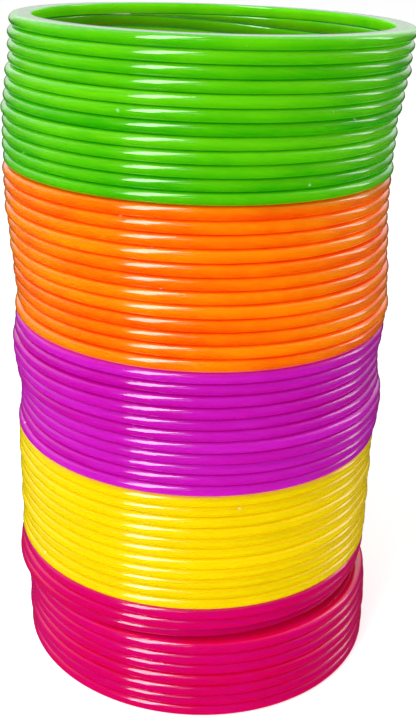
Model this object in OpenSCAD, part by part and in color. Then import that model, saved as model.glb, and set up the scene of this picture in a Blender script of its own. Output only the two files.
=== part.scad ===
// Spring coil toy: one flat plastic strip wound into a closed coil, in five coloured
// sections, with a closed ring at each end. The strip is cut into turns at the back,
// where the pile hinges and slides.
// Millimetres, +Z up, origin on the table under the middle of the pile.

/* [Coil] */
// Outside diameter of a turn
outer_d = 75; // [50:1:100]
// Width of the strip, from its inner wall to its outer wall
strip_w = 4; // [3:0.1:6]
// Gap between two turns of the closed pile
turn_gap = 0.2; // [0.2:0.02:0.5]

/* [Sections] */
// Turns in the pink section, at the bottom
pink_turns = 10; // [4:1:12]
// Turns in the yellow section
yellow_turns = 11; // [4:1:12]
// Turns in the purple section
purple_turns = 11; // [4:1:12]
// Turns in the orange section
orange_turns = 12; // [4:1:12]
// Turns in the green section, at the top
green_turns = 12; // [4:1:12]

/* [Height of the strip] */
// In the pink section
pink_h = 2.28; // [1.8:0.02:2.5]
// In the yellow section
yellow_h = 2.04; // [1.8:0.02:2.5]
// In the purple section
purple_h = 2.02; // [1.8:0.02:2.5]
// In the orange section
orange_h = 2.26; // [1.8:0.02:2.5]
// In the green section
green_h = 2.04; // [1.8:0.02:2.5]

/* [Strip profile] */
// Chamfer on the outer edges of the strip
outer_chamfer = 0.7; // [0.3:0.05:0.8]
// Chamfer on the inner edges of the strip
inner_chamfer = 0.3; // [0.1:0.05:0.5]

/* [Step at the back] */
// Half of the arc over which a turn steps up to the next one
step_angle = 45; // [30:1:60]
// Gap between the ends of two turns
end_gap = 0.24; // [0.2:0.02:0.4]
// Thickness of the tapered tip where the strip runs onto the ring at either end
tip_h = 0.5; // [0.4:0.05:0.8]

/* [Lean of the pile] */
// How far the closed pile wanders sideways: 1 as it usually stands, 0 for a straight pile
lean = 1; // [0:0.1:1]

/* [Hidden] */
SECTIONS = [
    ["pink", pink_turns, pink_h, "DeepPink"],
    ["yellow", yellow_turns, yellow_h, "Yellow"],
    ["purple", purple_turns, purple_h, "DarkViolet"],
    ["orange", orange_turns, orange_h, "DarkOrange"],
    ["green", green_turns, green_h, "LimeGreen"],
];

// The section each turn belongs to, its number in that section from the bottom, its height
// and its colour
TURNS = [for (s = SECTIONS) for (n = [1 : s[1]]) [s[0], n, s[2], s[3]]];
turns = len(TURNS);

// Height of the strip in turn i, height of its middle above the table, and the rise from
// its middle to the next turn's
function strip_h(i) = TURNS[i][2];
function rise(i) = (strip_h(i) + strip_h(i + 1)) / 2 + turn_gap;
function level(i) = i == 0 ? strip_h(0) / 2 : level(i - 1) + rise(i - 1);

outer_r = outer_d / 2;
inner_r = outer_r - strip_w;
middle_r = outer_r - strip_w / 2;

// Half of a step's length, measured straight across
step_run = middle_r * sin(step_angle);
// The level strip reaches this far into a step, so that the two join
join_angle = 0.6;

// Where the pile stands to the right as it goes up: [turn, mm], set by hand
LEAN_X = [[0, 1.2], [5, 1], [6, 0.7], [7, -1.3], [8, -0.6], [10, -0.1], [20, -0.4], [24, 0.6],
          [28, -1], [33, 0.1], [41, -1.7], [48, -1.5], [52, -0.1], [55, 0.3]];
// Where it stands towards the back
LEAN_Y = [[0, -0.6], [5, -0.6], [6, -0.4], [7, 1.3], [8, 0.2], [20, 0], [26, -0.3], [32, 0.2],
          [40, 0.1], [48, -0.2], [55, 0]];
wobble = 0.16;
function pile_x(i) = lean * (lookup(i, LEAN_X) + wobble * sin(133 * i));
function pile_y(i) = lean * (lookup(i, LEAN_Y) + wobble * sin(97 * i + 40));
function middle(v) = (max(v) + min(v)) / 2;
centre_x = middle([for (i = [0 : turns - 1]) pile_x(i)]);
centre_y = middle([for (i = [0 : turns - 1]) pile_y(i)]);

// How far short of the back turn i - 1 ends and turn i starts. Where turn i stands
// further to the right than the one under it, both end sooner, so that the gap stays.
function cut_angle(i) = (end_gap + pile_x(i) - pile_x(i - 1)) / 2 / middle_r * 180 / PI;

// How far the strip of turn i runs past the back onto an end ring, in a step of this rise,
// before the ring leaves it only the thickness of the tip
function tongue_angle(i, rise) =
    asin(step_run * (2 * (strip_h(i) - tip_h) / rise - 1) / middle_r);

// Section through the strip: a flat inner wall and a rounder outer one
module strip_profile(h) {
    top = h / 2;
    polygon([
        [inner_r, -top + inner_chamfer],
        [inner_r + inner_chamfer, -top],
        [outer_r - outer_chamfer, -top],
        [outer_r, -top + outer_chamfer],
        [outer_r, top - outer_chamfer],
        [outer_r - outer_chamfer, top],
        [inner_r + inner_chamfer, top],
        [inner_r, top - inner_chamfer],
    ]);
}

// A stretch of level strip, from one angle to another
module strip_arc(h, from, to) {
    rotate([0, 0, from])
        rotate_extrude(angle = to - from, $fn = 96)
            strip_profile(h);
}

// A stretch of strip in a step of this rise, level with the rest of the turn at x = level_x
module step_arc(h, from, to, level_x, rise) {
    translate([level_x, 0, 0])
        rotate([0, atan(rise / 2 / step_run), 0])
            translate([-level_x, 0, 0])
                strip_arc(h, from, to);
}

// The room that an end ring takes, above or below this height
module ring_room(z, above) {
    room_h = 3 * abs(z);
    translate([0, 0, above ? z : z - room_h])
        cylinder(h = room_h, r = outer_d, $fn = 48);
}

// The closed ring at either end of the coil
module end_ring(i) {
    rotate_extrude($fn = 96)
        strip_profile(strip_h(i));
}

// One turn: it comes up out of a step, runs level round the front, and goes up into the
// next step. The back is at 90 degrees. On the ring at either end it tapers off.
module turn(i) {
    h = strip_h(i);
    on_first_ring = i == 1;
    under_last_ring = i == turns - 2;
    start = 90 + (on_first_ring ? -tongue_angle(i, rise(0)) : cut_angle(i));
    end = 90 + (under_last_ring ? tongue_angle(i, rise(i)) : -cut_angle(i + 1));
    strip_arc(h, 90 + step_angle - join_angle, 450 - step_angle + join_angle);
    difference() {
        step_arc(h, start, 90 + step_angle, -step_run, rise(i - 1));
        if (on_first_ring) ring_room(-h / 2, above = false);
    }
    difference() {
        step_arc(h, 90 - step_angle, end, step_run, rise(i));
        if (under_last_ring) ring_room(h / 2, above = true);
    }
}

module piece(i) {
    translate([pile_x(i) - centre_x, pile_y(i) - centre_y, level(i)])
        if (i == 0 || i == turns - 1) end_ring(i);
        else turn(i);
}

for (i = [0 : turns - 1])
    color(TURNS[i][3]) piece(i);
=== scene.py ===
"""Spring coil toy: the looks. One strip is wound through every turn of the CAD pile, and cut
into pieces at the steps between turns and where its colour changes. Metres, degrees along the strip,
+Z up."""

import math

import bpy
import numpy as np
from mathutils import Matrix, Vector


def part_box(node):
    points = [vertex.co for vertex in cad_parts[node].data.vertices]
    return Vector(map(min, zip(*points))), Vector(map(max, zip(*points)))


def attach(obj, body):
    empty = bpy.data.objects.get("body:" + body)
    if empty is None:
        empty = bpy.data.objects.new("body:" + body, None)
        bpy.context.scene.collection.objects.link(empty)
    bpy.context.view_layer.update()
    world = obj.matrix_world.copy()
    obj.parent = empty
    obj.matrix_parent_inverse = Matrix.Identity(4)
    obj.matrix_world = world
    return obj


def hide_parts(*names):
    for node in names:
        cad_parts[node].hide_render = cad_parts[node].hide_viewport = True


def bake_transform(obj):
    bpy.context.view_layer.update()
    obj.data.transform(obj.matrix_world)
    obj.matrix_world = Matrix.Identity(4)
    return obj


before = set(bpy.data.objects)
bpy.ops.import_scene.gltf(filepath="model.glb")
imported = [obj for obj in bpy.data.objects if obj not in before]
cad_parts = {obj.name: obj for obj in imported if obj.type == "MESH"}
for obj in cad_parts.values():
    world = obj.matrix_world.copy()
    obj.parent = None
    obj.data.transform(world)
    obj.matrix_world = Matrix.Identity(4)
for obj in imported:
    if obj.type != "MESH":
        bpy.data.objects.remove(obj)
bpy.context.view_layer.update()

MM = 0.001
TURN = 360.0  # degrees along the strip
BACK = 90.0  # the angle where turn 0 starts, seen from above
HALF_STEP = 45.0  # the strip steps up within this angle of the back
TONGUE = 30.0  # how far the strip runs onto an end ring, past the back
RING_STEP = 3.0  # degrees between two sections of the strip
TONGUE_GAP = 0.1 * MM

# ---------------------------------------------------------------- the pile, from the frame


def vertices(node):
    return np.array([v.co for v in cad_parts[node].data.vertices], float)


def turn_place(node):
    """Centre x and y, level z, outer radius and strip height of a turn, from its CAD solid."""
    co = vertices(node)
    front = co[co[:, 1] < 0]
    radius = (co[:, 0].max() - co[:, 0].min()) / 2
    centre_x = (co[:, 0].max() + co[:, 0].min()) / 2
    centre_y = front[:, 1].min() + radius
    low, high = front[:, 2].min(), front[:, 2].max()
    return centre_x, centre_y, (low + high) / 2, radius, high - low


def inner_radius(node):
    co = vertices(node)
    x, y = turn_place(node)[:2]
    return np.hypot(co[:, 0] - x, co[:, 1] - y).min()


nodes = sorted(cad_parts, key=lambda n: sum(c.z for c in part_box(n)))
places = np.array([turn_place(n) for n in nodes])
turns = len(nodes)
last = turns - 1
outer_r = places[0][3]
inner_r = inner_radius(nodes[0])
colours = [n.split("_")[0] for n in nodes]
strip_h = {colour: places[i][4] for i, colour in enumerate(colours)}


def smooth(t):
    t = np.clip(t, 0, 1)
    return t * t * (3 - 2 * t)


def height(angle):
    """Height of the strip's middle, this many degrees along it."""
    seam = np.round(angle / TURN)
    past = angle - seam * TURN
    below = np.clip(seam - 1, 0, last).astype(int)
    above = np.clip(seam, 0, last).astype(int)
    level = np.clip(np.floor(angle / TURN), 0, last).astype(int)
    z = places[:, 2]
    climbing = z[below] + (z[above] - z[below]) * smooth((past + HALF_STEP) / (2 * HALF_STEP))
    return np.where(np.abs(past) < HALF_STEP, climbing, z[level])


def centre(angle):
    """Where the middle of the turn is, this many degrees along the strip."""
    front = np.clip(angle / TURN - 0.5, 0, last)
    lower = np.floor(front).astype(int)
    upper = np.minimum(lower + 1, last)
    share = smooth(front - lower)[:, None]
    return places[lower, :2] * (1 - share) + places[upper, :2] * share


# ---------------------------------------------------------------- the strip's cross-section

NOSE_DEPTH = 1.1 * MM  # how far the outer face bulges
NOSE_POWER = 1.85  # 2 is an ellipse, more is squarer
NOSE_POINTS = 15
CORNER = 0.35 * MM  # radius of the inner corners
CORNER_POINTS = 4
FLAT_POINTS = 4  # on each flat face, across the strip
SQUEEZE = 0.12 * MM  # closed turns lie closer than the stiff CAD turns


def profile(colour):
    """Points round the section, as (radius, height), anticlockwise from the inner bottom corner."""
    half = (strip_h[colour] + SQUEEZE) / 2
    nose = outer_r - NOSE_DEPTH
    corner_r = inner_r + CORNER
    flats = np.linspace(corner_r, nose, FLAT_POINTS)
    points = [(r, -half) for r in flats[:-1]]
    for angle in np.radians(np.linspace(-90, 90, NOSE_POINTS)):
        c = abs(math.cos(angle))
        s = math.sin(angle)
        reach = NOSE_DEPTH * c ** (2 / NOSE_POWER)
        points.append((nose + reach, half * math.copysign(abs(s) ** (2 / NOSE_POWER), s)))
    points += [(r, half) for r in flats[::-1][1:]]
    for corner_z, first in ((half - CORNER, 90), (-half + CORNER, 180)):
        for angle in np.radians(np.linspace(first, first + 90, CORNER_POINTS)[1:]):
            points.append((corner_r + CORNER * math.cos(angle), corner_z + CORNER * math.sin(angle)))
    return np.array(points[:-1])


PROFILES = {colour: profile(colour) for colour in strip_h}
POINTS = len(PROFILES[colours[0]])
TURN_SPACING = 40.0  # mm between the textures of two turns

# Painted glow: emission that stands in for light coming through the translucent plastic
GAP_GLOW = 0.35  # in the gap between two closed turns
FLAT_GLOW = 0.15  # at the flat faces
WALL_GLOW = 0.12  # at the inner wall
RING_GLOW = 0.65  # painted glow at the inner wall of an end ring, standing in for light from its free side
GAP_FROM = 0.55  # share of the section's half height where a gap begins
GAP_FADE = 0.4  # share over which its glow comes on


def across_and_glow(section, closed):
    """For each point of the section: -1 at its bottom to 1 at its top, and its painted glow."""
    radius, z = section.T
    across = z / z.max()
    in_gap = smooth((np.abs(across) - GAP_FROM) / GAP_FADE)
    glow = in_gap * np.where(radius > outer_r - NOSE_DEPTH - CORNER, GAP_GLOW, FLAT_GLOW)
    wall = radius < inner_r + CORNER / 4
    return across, np.where(wall, RING_GLOW if closed else WALL_GLOW, glow)


def thin(z, above, below):
    """Thin each section of the strip where it would reach past the height above or below."""
    low = z.min(1, keepdims=True)
    high = z.max(1, keepdims=True)
    if above is not None:
        z[:] = high - (high - z) * np.minimum((high - above) / (high - low), 1)
    if below is not None:
        z[:] = low + (z - low) * np.minimum((below - low) / (high - low), 1)


def strip_faces(rows, closed):
    """Faces from each section to the next, and an end face at either end of an open piece."""
    faces = []
    for row in range(rows if closed else rows - 1):
        a = row * POINTS
        b = (row + 1) % rows * POINTS
        for i in range(POINTS):
            j = (i + 1) % POINTS
            faces.append((a + i, b + i, b + j, a + j))
    if not closed:
        faces.append(tuple(range(POINTS)))
        faces.append(tuple(reversed(range((rows - 1) * POINTS, rows * POINTS))))
    return faces


def sharpen_ends(mesh, rows):
    """Keep the edges round both end faces sharp."""
    ends = [set(range(POINTS)), set(range((rows - 1) * POINTS, rows * POINTS))]
    sharp = [any(e.vertices[0] in end and e.vertices[1] in end for end in ends)
             for e in mesh.edges]
    mesh.attributes.new("sharp_edge", "BOOLEAN", "EDGE").data.foreach_set("value", sharp)


def strip_mesh(name, colour, angles, turn=None, above=None, below=None):
    """A piece of strip through these angles, or the closed ring of one turn. It stays above
    and below the heights given."""
    closed = turn is not None
    rows = len(angles)
    section = PROFILES[colour]
    middle = places[turn, :2][None, :] if closed else centre(angles)
    level = places[turn, 2] + 0 * angles if closed else height(angles)
    from_x = np.radians(BACK + angles)
    radial = np.stack([np.cos(from_x), np.sin(from_x)], 1)
    co = np.zeros((rows, POINTS, 3))
    co[:, :, :2] = radial[:, None, :] * section[None, :, :1] + middle[:, None, :]
    co[:, :, 2] = level[:, None] + section[:, 1]
    thin(co[:, :, 2], above, below)
    mesh = bpy.data.meshes.new(name)
    mesh.from_pydata(co.reshape(-1, 3).tolist(), [], strip_faces(rows, closed))

    # Where each point is on the strip, in mm, with the turns set apart: the textures follow it
    rest = np.zeros_like(co)
    along = turn + 0 * angles if closed else angles / TURN
    rest[:, :, :2] = radial[:, None, :] * section[None, :, :1] / MM
    rest[:, :, 2] = section[:, 1] / MM + (along * TURN_SPACING)[:, None]
    attribute = mesh.attributes.new("on_strip", "FLOAT_VECTOR", "POINT")
    attribute.data.foreach_set("vector", rest.astype(np.float32).ravel())
    for key, values in zip(("across", "glow"), across_and_glow(section, closed)):
        attribute = mesh.attributes.new(key, "FLOAT", "POINT")
        attribute.data.foreach_set("value", np.tile(values, rows).astype(np.float32))

    mesh.polygons.foreach_set("use_smooth", [True] * len(mesh.polygons))
    if not closed:
        sharpen_ends(mesh, rows)
    mesh.update()
    piece = bpy.data.objects.new(name, mesh)
    bpy.context.scene.collection.objects.link(piece)
    return piece


def sections(start, end):
    return np.linspace(start, end, int(round((end - start) / RING_STEP)) + 1)


# ---------------------------------------------------------------- materials

# Colour at the upper edge of a turn, a darker colour painted as shade at its lower edge and in the
# gaps (and also used for deeper patches by chance), and how far red, green and blue light scatter
PLASTICS = {
    "green": ((0.115, 0.49, 0.003), (0.013, 0.31, 0.0005), (0.4, 1.0, 0.15)),
    "orange": ((0.90, 0.235, 0.001), (0.68, 0.048, 0.0005), (1.0, 0.5, 0.05)),
    "purple": ((0.475, 0.010, 0.42), (0.41, 0.001, 0.26), (1.0, 0.1, 0.9)),
    "yellow": ((0.78, 0.57, 0.001), (0.65, 0.48, 0.0005), (1.0, 0.9, 0.1)),
    "pink": ((0.535, 0.001, 0.14), (0.51, 0.0005, 0.035), (1.0, 0.1, 0.3)),
}
SCATTER_DEPTH = 3.5 * MM

# How fine each pattern is, in cells to a mm
CLOUDS = 0.09
TURNS_DIFFER = 0.03
LINES = 3.2  # across the strip
LINE_STRETCH = 0.02  # of that along the strip
GRAIN = 2.6
NICKS = 0.11
SCUFFS = 0.35

# Roughness of clean plastic, at least and at most, and what scuffs and nicks add to it
CLEAN = (0.09, 0.15)
SCUFFED = 0.14
NICKED = 0.2
RELIEF = 0.03 * MM


class Nodes:
    """Short names for adding and joining the nodes of one material or world."""

    def __init__(self, owner, shader="Principled BSDF"):
        owner.use_nodes = True
        self.tree = owner.node_tree
        self.shader = self.tree.nodes[shader]

    def add(self, kind, inputs=None, **settings):
        node = self.tree.nodes.new(kind)
        for key, value in settings.items():
            setattr(node, key, value)
        for key, value in (inputs or {}).items():
            self.put(node.inputs[key], value)
        return node

    def put(self, socket, value):
        if isinstance(value, bpy.types.NodeSocket):
            self.tree.links.new(value, socket)
        else:
            socket.default_value = value

    def math(self, operation, a, b):
        node = self.add("ShaderNodeMath", {0: a, 1: b}, operation=operation)
        return node.outputs[0]

    def noise(self, place, scale, detail, roughness=0.5):
        node = self.add("ShaderNodeTexNoise", {"Vector": place, "Scale": scale,
                                               "Detail": detail, "Roughness": roughness})
        return node.outputs["Fac"]

    def ramp(self, value, low, high, out_low=0.0, out_high=1.0):
        node = self.add("ShaderNodeMapRange", {"Value": value, 1: low, 2: high, 3: out_low,
                                               4: out_high})
        return node.outputs["Result"]

    def blend(self, share, a, b):
        """A colour between a and b. Inputs 6 and 7 of the node are its colours."""
        node = self.add("ShaderNodeMix", data_type="RGBA")
        self.put(node.inputs[0], share)
        self.put(node.inputs[6], a)
        self.put(node.inputs[7], b)
        return node.outputs[2]


def plastic(name, base, deep_tone_and_shade, scatter):
    """Glossy translucent plastic: cloudy colour, fine lines along the strip, nicks and wear."""
    material = bpy.data.materials.new(name + "_plastic")
    n = Nodes(material)
    place = n.add("ShaderNodeAttribute", attribute_name="on_strip").outputs["Vector"]
    parts = n.add("ShaderNodeSeparateXYZ", {0: place})
    flat = n.add("ShaderNodeCombineXYZ", {0: parts.outputs[0], 1: parts.outputs[1]})
    radius = n.add("ShaderNodeVectorMath", {0: flat.outputs[0]}, operation="LENGTH")
    # Across the strip the lines are fine, and along it they run on
    ribbed = n.add("ShaderNodeCombineXYZ", {
        0: radius.outputs["Value"],
        1: parts.outputs[2],
        2: n.math("MULTIPLY", parts.outputs[0], LINE_STRETCH),
    }).outputs[0]
    on_coil = n.add("ShaderNodeCombineXYZ", {2: parts.outputs[2]}).outputs[0]

    clouds = n.noise(place, CLOUDS, detail=3.0)
    turns_differ = n.noise(on_coil, TURNS_DIFFER, detail=1.0)
    lines = n.noise(ribbed, LINES, detail=3.0, roughness=0.6)
    grain = n.noise(place, GRAIN, detail=4.0, roughness=0.65)
    nicks = n.add("ShaderNodeTexVoronoi", {"Vector": place, "Scale": NICKS}).outputs["Distance"]
    nick = n.ramp(nicks, 0.02, 0.05, 1.0, 0.0)
    scuffs = n.ramp(n.noise(place, SCUFFS, detail=5.0, roughness=0.7), 0.56, 0.72)

    # Painted shade: the colour is darker towards the lower edge and just at the upper one, where the
    # gaps between turns are. It is also a little deeper by chance along the strip and from turn to
    # turn
    across = n.add("ShaderNodeAttribute", attribute_name="across").outputs["Fac"]
    glow = n.add("ShaderNodeAttribute", attribute_name="glow").outputs["Fac"]
    # lower and edges are masks of painted shade, at the lower edge and at the gap above the upper
    # edge
    lower = n.ramp(across, -1.0, 0.5, 0.75, 0.1)
    edges = n.math("MAXIMUM", lower, n.ramp(across, 0.7, 1.0, 0.0, 0.9))
    patches = n.math("ADD", n.ramp(clouds, 0.35, 0.65, -0.15, 0.15),
                     n.ramp(lines, 0.3, 0.7, -0.1, 0.1))
    patches = n.math("ADD", patches, n.ramp(turns_differ, 0.35, 0.65, -0.35, 0.35))
    shade_and_tone = n.add("ShaderNodeClamp", {0: n.math("ADD", edges, patches)}).outputs[0]
    colour = n.blend(shade_and_tone, (*base, 1), (*deep_tone_and_shade, 1))
    pale = tuple(0.55 + 0.45 * c for c in base)
    colour = n.blend(n.math("MULTIPLY", nick, 0.5), colour, (*pale, 1))
    n.put(n.shader.inputs["Base Color"], colour)
    # Painted glow: the plastic emits its own colour, as strong as the glow attribute, in place of
    # light through it
    n.put(n.shader.inputs["Emission Color"], colour)
    n.put(n.shader.inputs["Emission Strength"], glow)

    rough = n.math("ADD", n.ramp(grain, 0.3, 0.7, *CLEAN), n.math("MULTIPLY", scuffs, SCUFFED))
    n.put(n.shader.inputs["Roughness"], n.math("ADD", rough, n.math("MULTIPLY", nick, NICKED)))
    n.put(n.shader.inputs["IOR"], 1.5)
    n.put(n.shader.inputs["Subsurface Weight"], 1.0)
    n.put(n.shader.inputs["Subsurface Radius"], scatter)
    n.put(n.shader.inputs["Subsurface Scale"], SCATTER_DEPTH)
    n.put(n.shader.inputs["Coat Weight"], 0.5)
    n.put(n.shader.inputs["Coat Roughness"], 0.04)

    relief = n.math("ADD", n.math("MULTIPLY", lines, 0.5), n.math("MULTIPLY", grain, 0.25))
    relief = n.math("SUBTRACT", relief, n.math("MULTIPLY", nick, 1.5))
    bump = n.add("ShaderNodeBump", {"Strength": 0.25, "Distance": RELIEF, "Height": relief})
    n.put(n.shader.inputs["Normal"], bump.outputs["Normal"])
    return material


materials = {name: plastic(name, *look) for name, look in PLASTICS.items()}

# ---------------------------------------------------------------- pieces of strip

counts = {}


def piece_name(colour, kind):
    counts[colour, kind] = counts.get((colour, kind), 0) + 1
    return f"{colour}_{kind}_{counts[colour, kind]:02d}"


def finish_piece(piece, colour):
    piece.data.materials.append(materials[colour])


def end_ring(turn):
    """The closed ring at either end of the coil, which rides on its own body."""
    colour = colours[turn]
    piece = strip_mesh(colour + "_end_ring", colour, np.arange(0, TURN, RING_STEP), turn=turn)
    finish_piece(piece, colour)
    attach(piece, nodes[turn])
    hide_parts(nodes[turn])


def coil(lower):
    """The strip through turns lower and lower + 1, which a slide joins."""
    upper = lower + 1
    first, final = lower == 0, upper == last
    start = upper * TURN - TONGUE if first else lower * TURN + HALF_STEP
    end = upper * TURN + TONGUE if final else (upper + 1) * TURN - HALF_STEP
    same = colours[lower] == colours[upper]
    cuts = [start, end] if same else [start, upper * TURN, end]
    ring_top = places[0][2] + strip_h[colours[0]] / 2 + TONGUE_GAP
    ring_bottom = places[last][2] - strip_h[colours[last]] / 2 - TONGUE_GAP
    for part, (a, b) in enumerate(zip(cuts, cuts[1:])):
        colour = colours[lower + part]
        angles = sections(a, b)
        piece = strip_mesh(piece_name(colour, "coil"), colour, angles,
                           above=ring_top if first else None,
                           below=ring_bottom if final else None)
        finish_piece(piece, colour)
        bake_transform(piece)
        if same:
            mine = [nodes[t] for t in (lower, upper) if t not in (0, last)]
        else:
            mine = [nodes[lower + part]]
        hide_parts(*mine)


def step(upper):
    """The strip where it steps up to turn upper, which a hinge joins to the one below."""
    lower = upper - 1
    seam = upper * TURN
    start, end = seam - HALF_STEP, seam + HALF_STEP
    same = colours[lower] == colours[upper]
    cuts = [start, end] if same else [start, seam, end]
    for part, (a, b) in enumerate(zip(cuts, cuts[1:])):
        colour = colours[lower + part]
        piece = strip_mesh(piece_name(colour, "step"), colour, sections(a, b))
        finish_piece(piece, colour)
        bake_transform(piece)


end_ring(0)
end_ring(last)
for lower in range(0, turns, 2):
    coil(lower)
for upper in range(2, turns, 2):
    step(upper)

# ---------------------------------------------------------------- camera, floor and light

FOCAL = 52.7
CAMERA_AT = Vector((0.24, -205.25, 145.2)) * MM
PITCH_DOWN = math.radians(22.27)
YAW = math.radians(0.48)
ROLL = math.radians(2.1)

FLOOR_HALF = 6.0
FLOOR_Z = -0.2 * MM
FLOOR_GLOW = 0.58  # the photo's floor is blown out to white

LIGHTS_AIM = Vector((0, 0, 0.07))
# Degrees to the left of the front, degrees up, distance, width, height and radiance
SOFTBOXES = {
    "key": (34, 46, 0.9, 0.25, 1.05, 9.3),
    "key_tail": (13, 42, 0.9, 0.26, 0.3, 1.2),
    "right_rim": (-112, 30, 1.1, 0.2, 0.6, 3.0),
}


def add_camera():
    data = bpy.data.cameras.new("camera")
    data.lens = FOCAL
    data.clip_start = 0.01
    camera = bpy.data.objects.new("camera", data)
    bpy.context.scene.collection.objects.link(camera)
    forward = Vector((math.sin(YAW) * math.cos(PITCH_DOWN), math.cos(YAW) * math.cos(PITCH_DOWN),
                      -math.sin(PITCH_DOWN)))
    right = Vector((math.cos(YAW), -math.sin(YAW), 0))
    up = right.cross(forward)
    right, up = (right * math.cos(ROLL) + up * math.sin(ROLL),
                 up * math.cos(ROLL) - right * math.sin(ROLL))
    turn = Matrix((right, up, -forward)).transposed().to_4x4()
    camera.matrix_world = Matrix.Translation(CAMERA_AT) @ turn
    bpy.context.scene.camera = camera


def add_floor():
    mesh = bpy.data.meshes.new("floor")
    signs = [(-1, -1), (1, -1), (1, 1), (-1, 1)]
    corners = [(x * FLOOR_HALF, y * FLOOR_HALF, FLOOR_Z) for x, y in signs]
    mesh.from_pydata(corners, [], [(0, 1, 2, 3)])
    floor = bpy.data.objects.new("floor", mesh)
    bpy.context.scene.collection.objects.link(floor)
    material = bpy.data.materials.new("floor")
    n = Nodes(material)
    n.put(n.shader.inputs["Base Color"], (0.93, 0.93, 0.93, 1))
    n.put(n.shader.inputs["Roughness"], 0.9)
    n.put(n.shader.inputs["Specular IOR Level"], 0.0)
    n.put(n.shader.inputs["Emission Color"], (1, 1, 1, 1))
    n.put(n.shader.inputs["Emission Strength"], FLOOR_GLOW)
    mesh.materials.append(material)
    floor.visible_glossy = False


def softbox(name, azimuth, elevation, distance, width, tall, radiance):
    """A rectangular light, azimuth degrees to the left of the front, aimed at the pile."""
    data = bpy.data.lights.new(name, "AREA")
    data.shape = "RECTANGLE"
    data.size, data.size_y = width, tall
    data.energy = radiance * math.pi * width * tall
    light = bpy.data.objects.new(name, data)
    bpy.context.scene.collection.objects.link(light)
    a = math.radians(azimuth)
    e = math.radians(elevation)
    away = Vector((-math.sin(a) * math.cos(e), -math.cos(a) * math.cos(e), math.sin(e)))
    light.location = LIGHTS_AIM + away * distance
    light.rotation_euler = away.to_track_quat("Z", "Y").to_euler()


def add_world(light, front, sides, behind):
    """White all round for soft light. In reflections it is dim in front and below, and
    brighter at the sides and behind."""
    world = bpy.data.worlds.new("world")
    bpy.context.scene.world = world
    n = Nodes(world, "Background")
    path = n.add("ShaderNodeLightPath")
    direction = n.add("ShaderNodeTexCoord").outputs["Generated"]
    axes = n.add("ShaderNodeSeparateXYZ", {0: direction}).outputs
    towards_sides = n.ramp(axes[1], -0.25, 0.4, front, sides)
    towards_back = n.ramp(axes[1], 0.7, 0.9, 0.0, behind)
    upwards = n.ramp(axes[2], 0.1, 0.45, 0.04, 1.0)
    over_floor = n.ramp(axes[2], -0.05, 0.05)
    reflected = n.math("ADD", n.math("MULTIPLY", towards_sides, upwards),
                       n.math("MULTIPLY", towards_back, over_floor))
    seen = n.add("ShaderNodeMix", {"Factor": path.outputs["Is Glossy Ray"]}, data_type="FLOAT")
    n.put(seen.inputs[2], light)
    n.put(seen.inputs[3], reflected)
    shown = n.add("ShaderNodeMix", {"Factor": path.outputs["Is Camera Ray"]}, data_type="FLOAT")
    n.put(shown.inputs[2], seen.outputs[0])
    n.put(shown.inputs[3], 1.0)
    n.put(n.shader.inputs["Color"], (1, 1, 1, 1))
    n.put(n.shader.inputs["Strength"], shown.outputs[0])


add_camera()
add_floor()
add_world(light=0.42, front=0.02, sides=0.9, behind=0.75)
for name, box in SOFTBOXES.items():
    softbox(name, *box)
bpy.context.scene.view_settings.view_transform = "Standard"
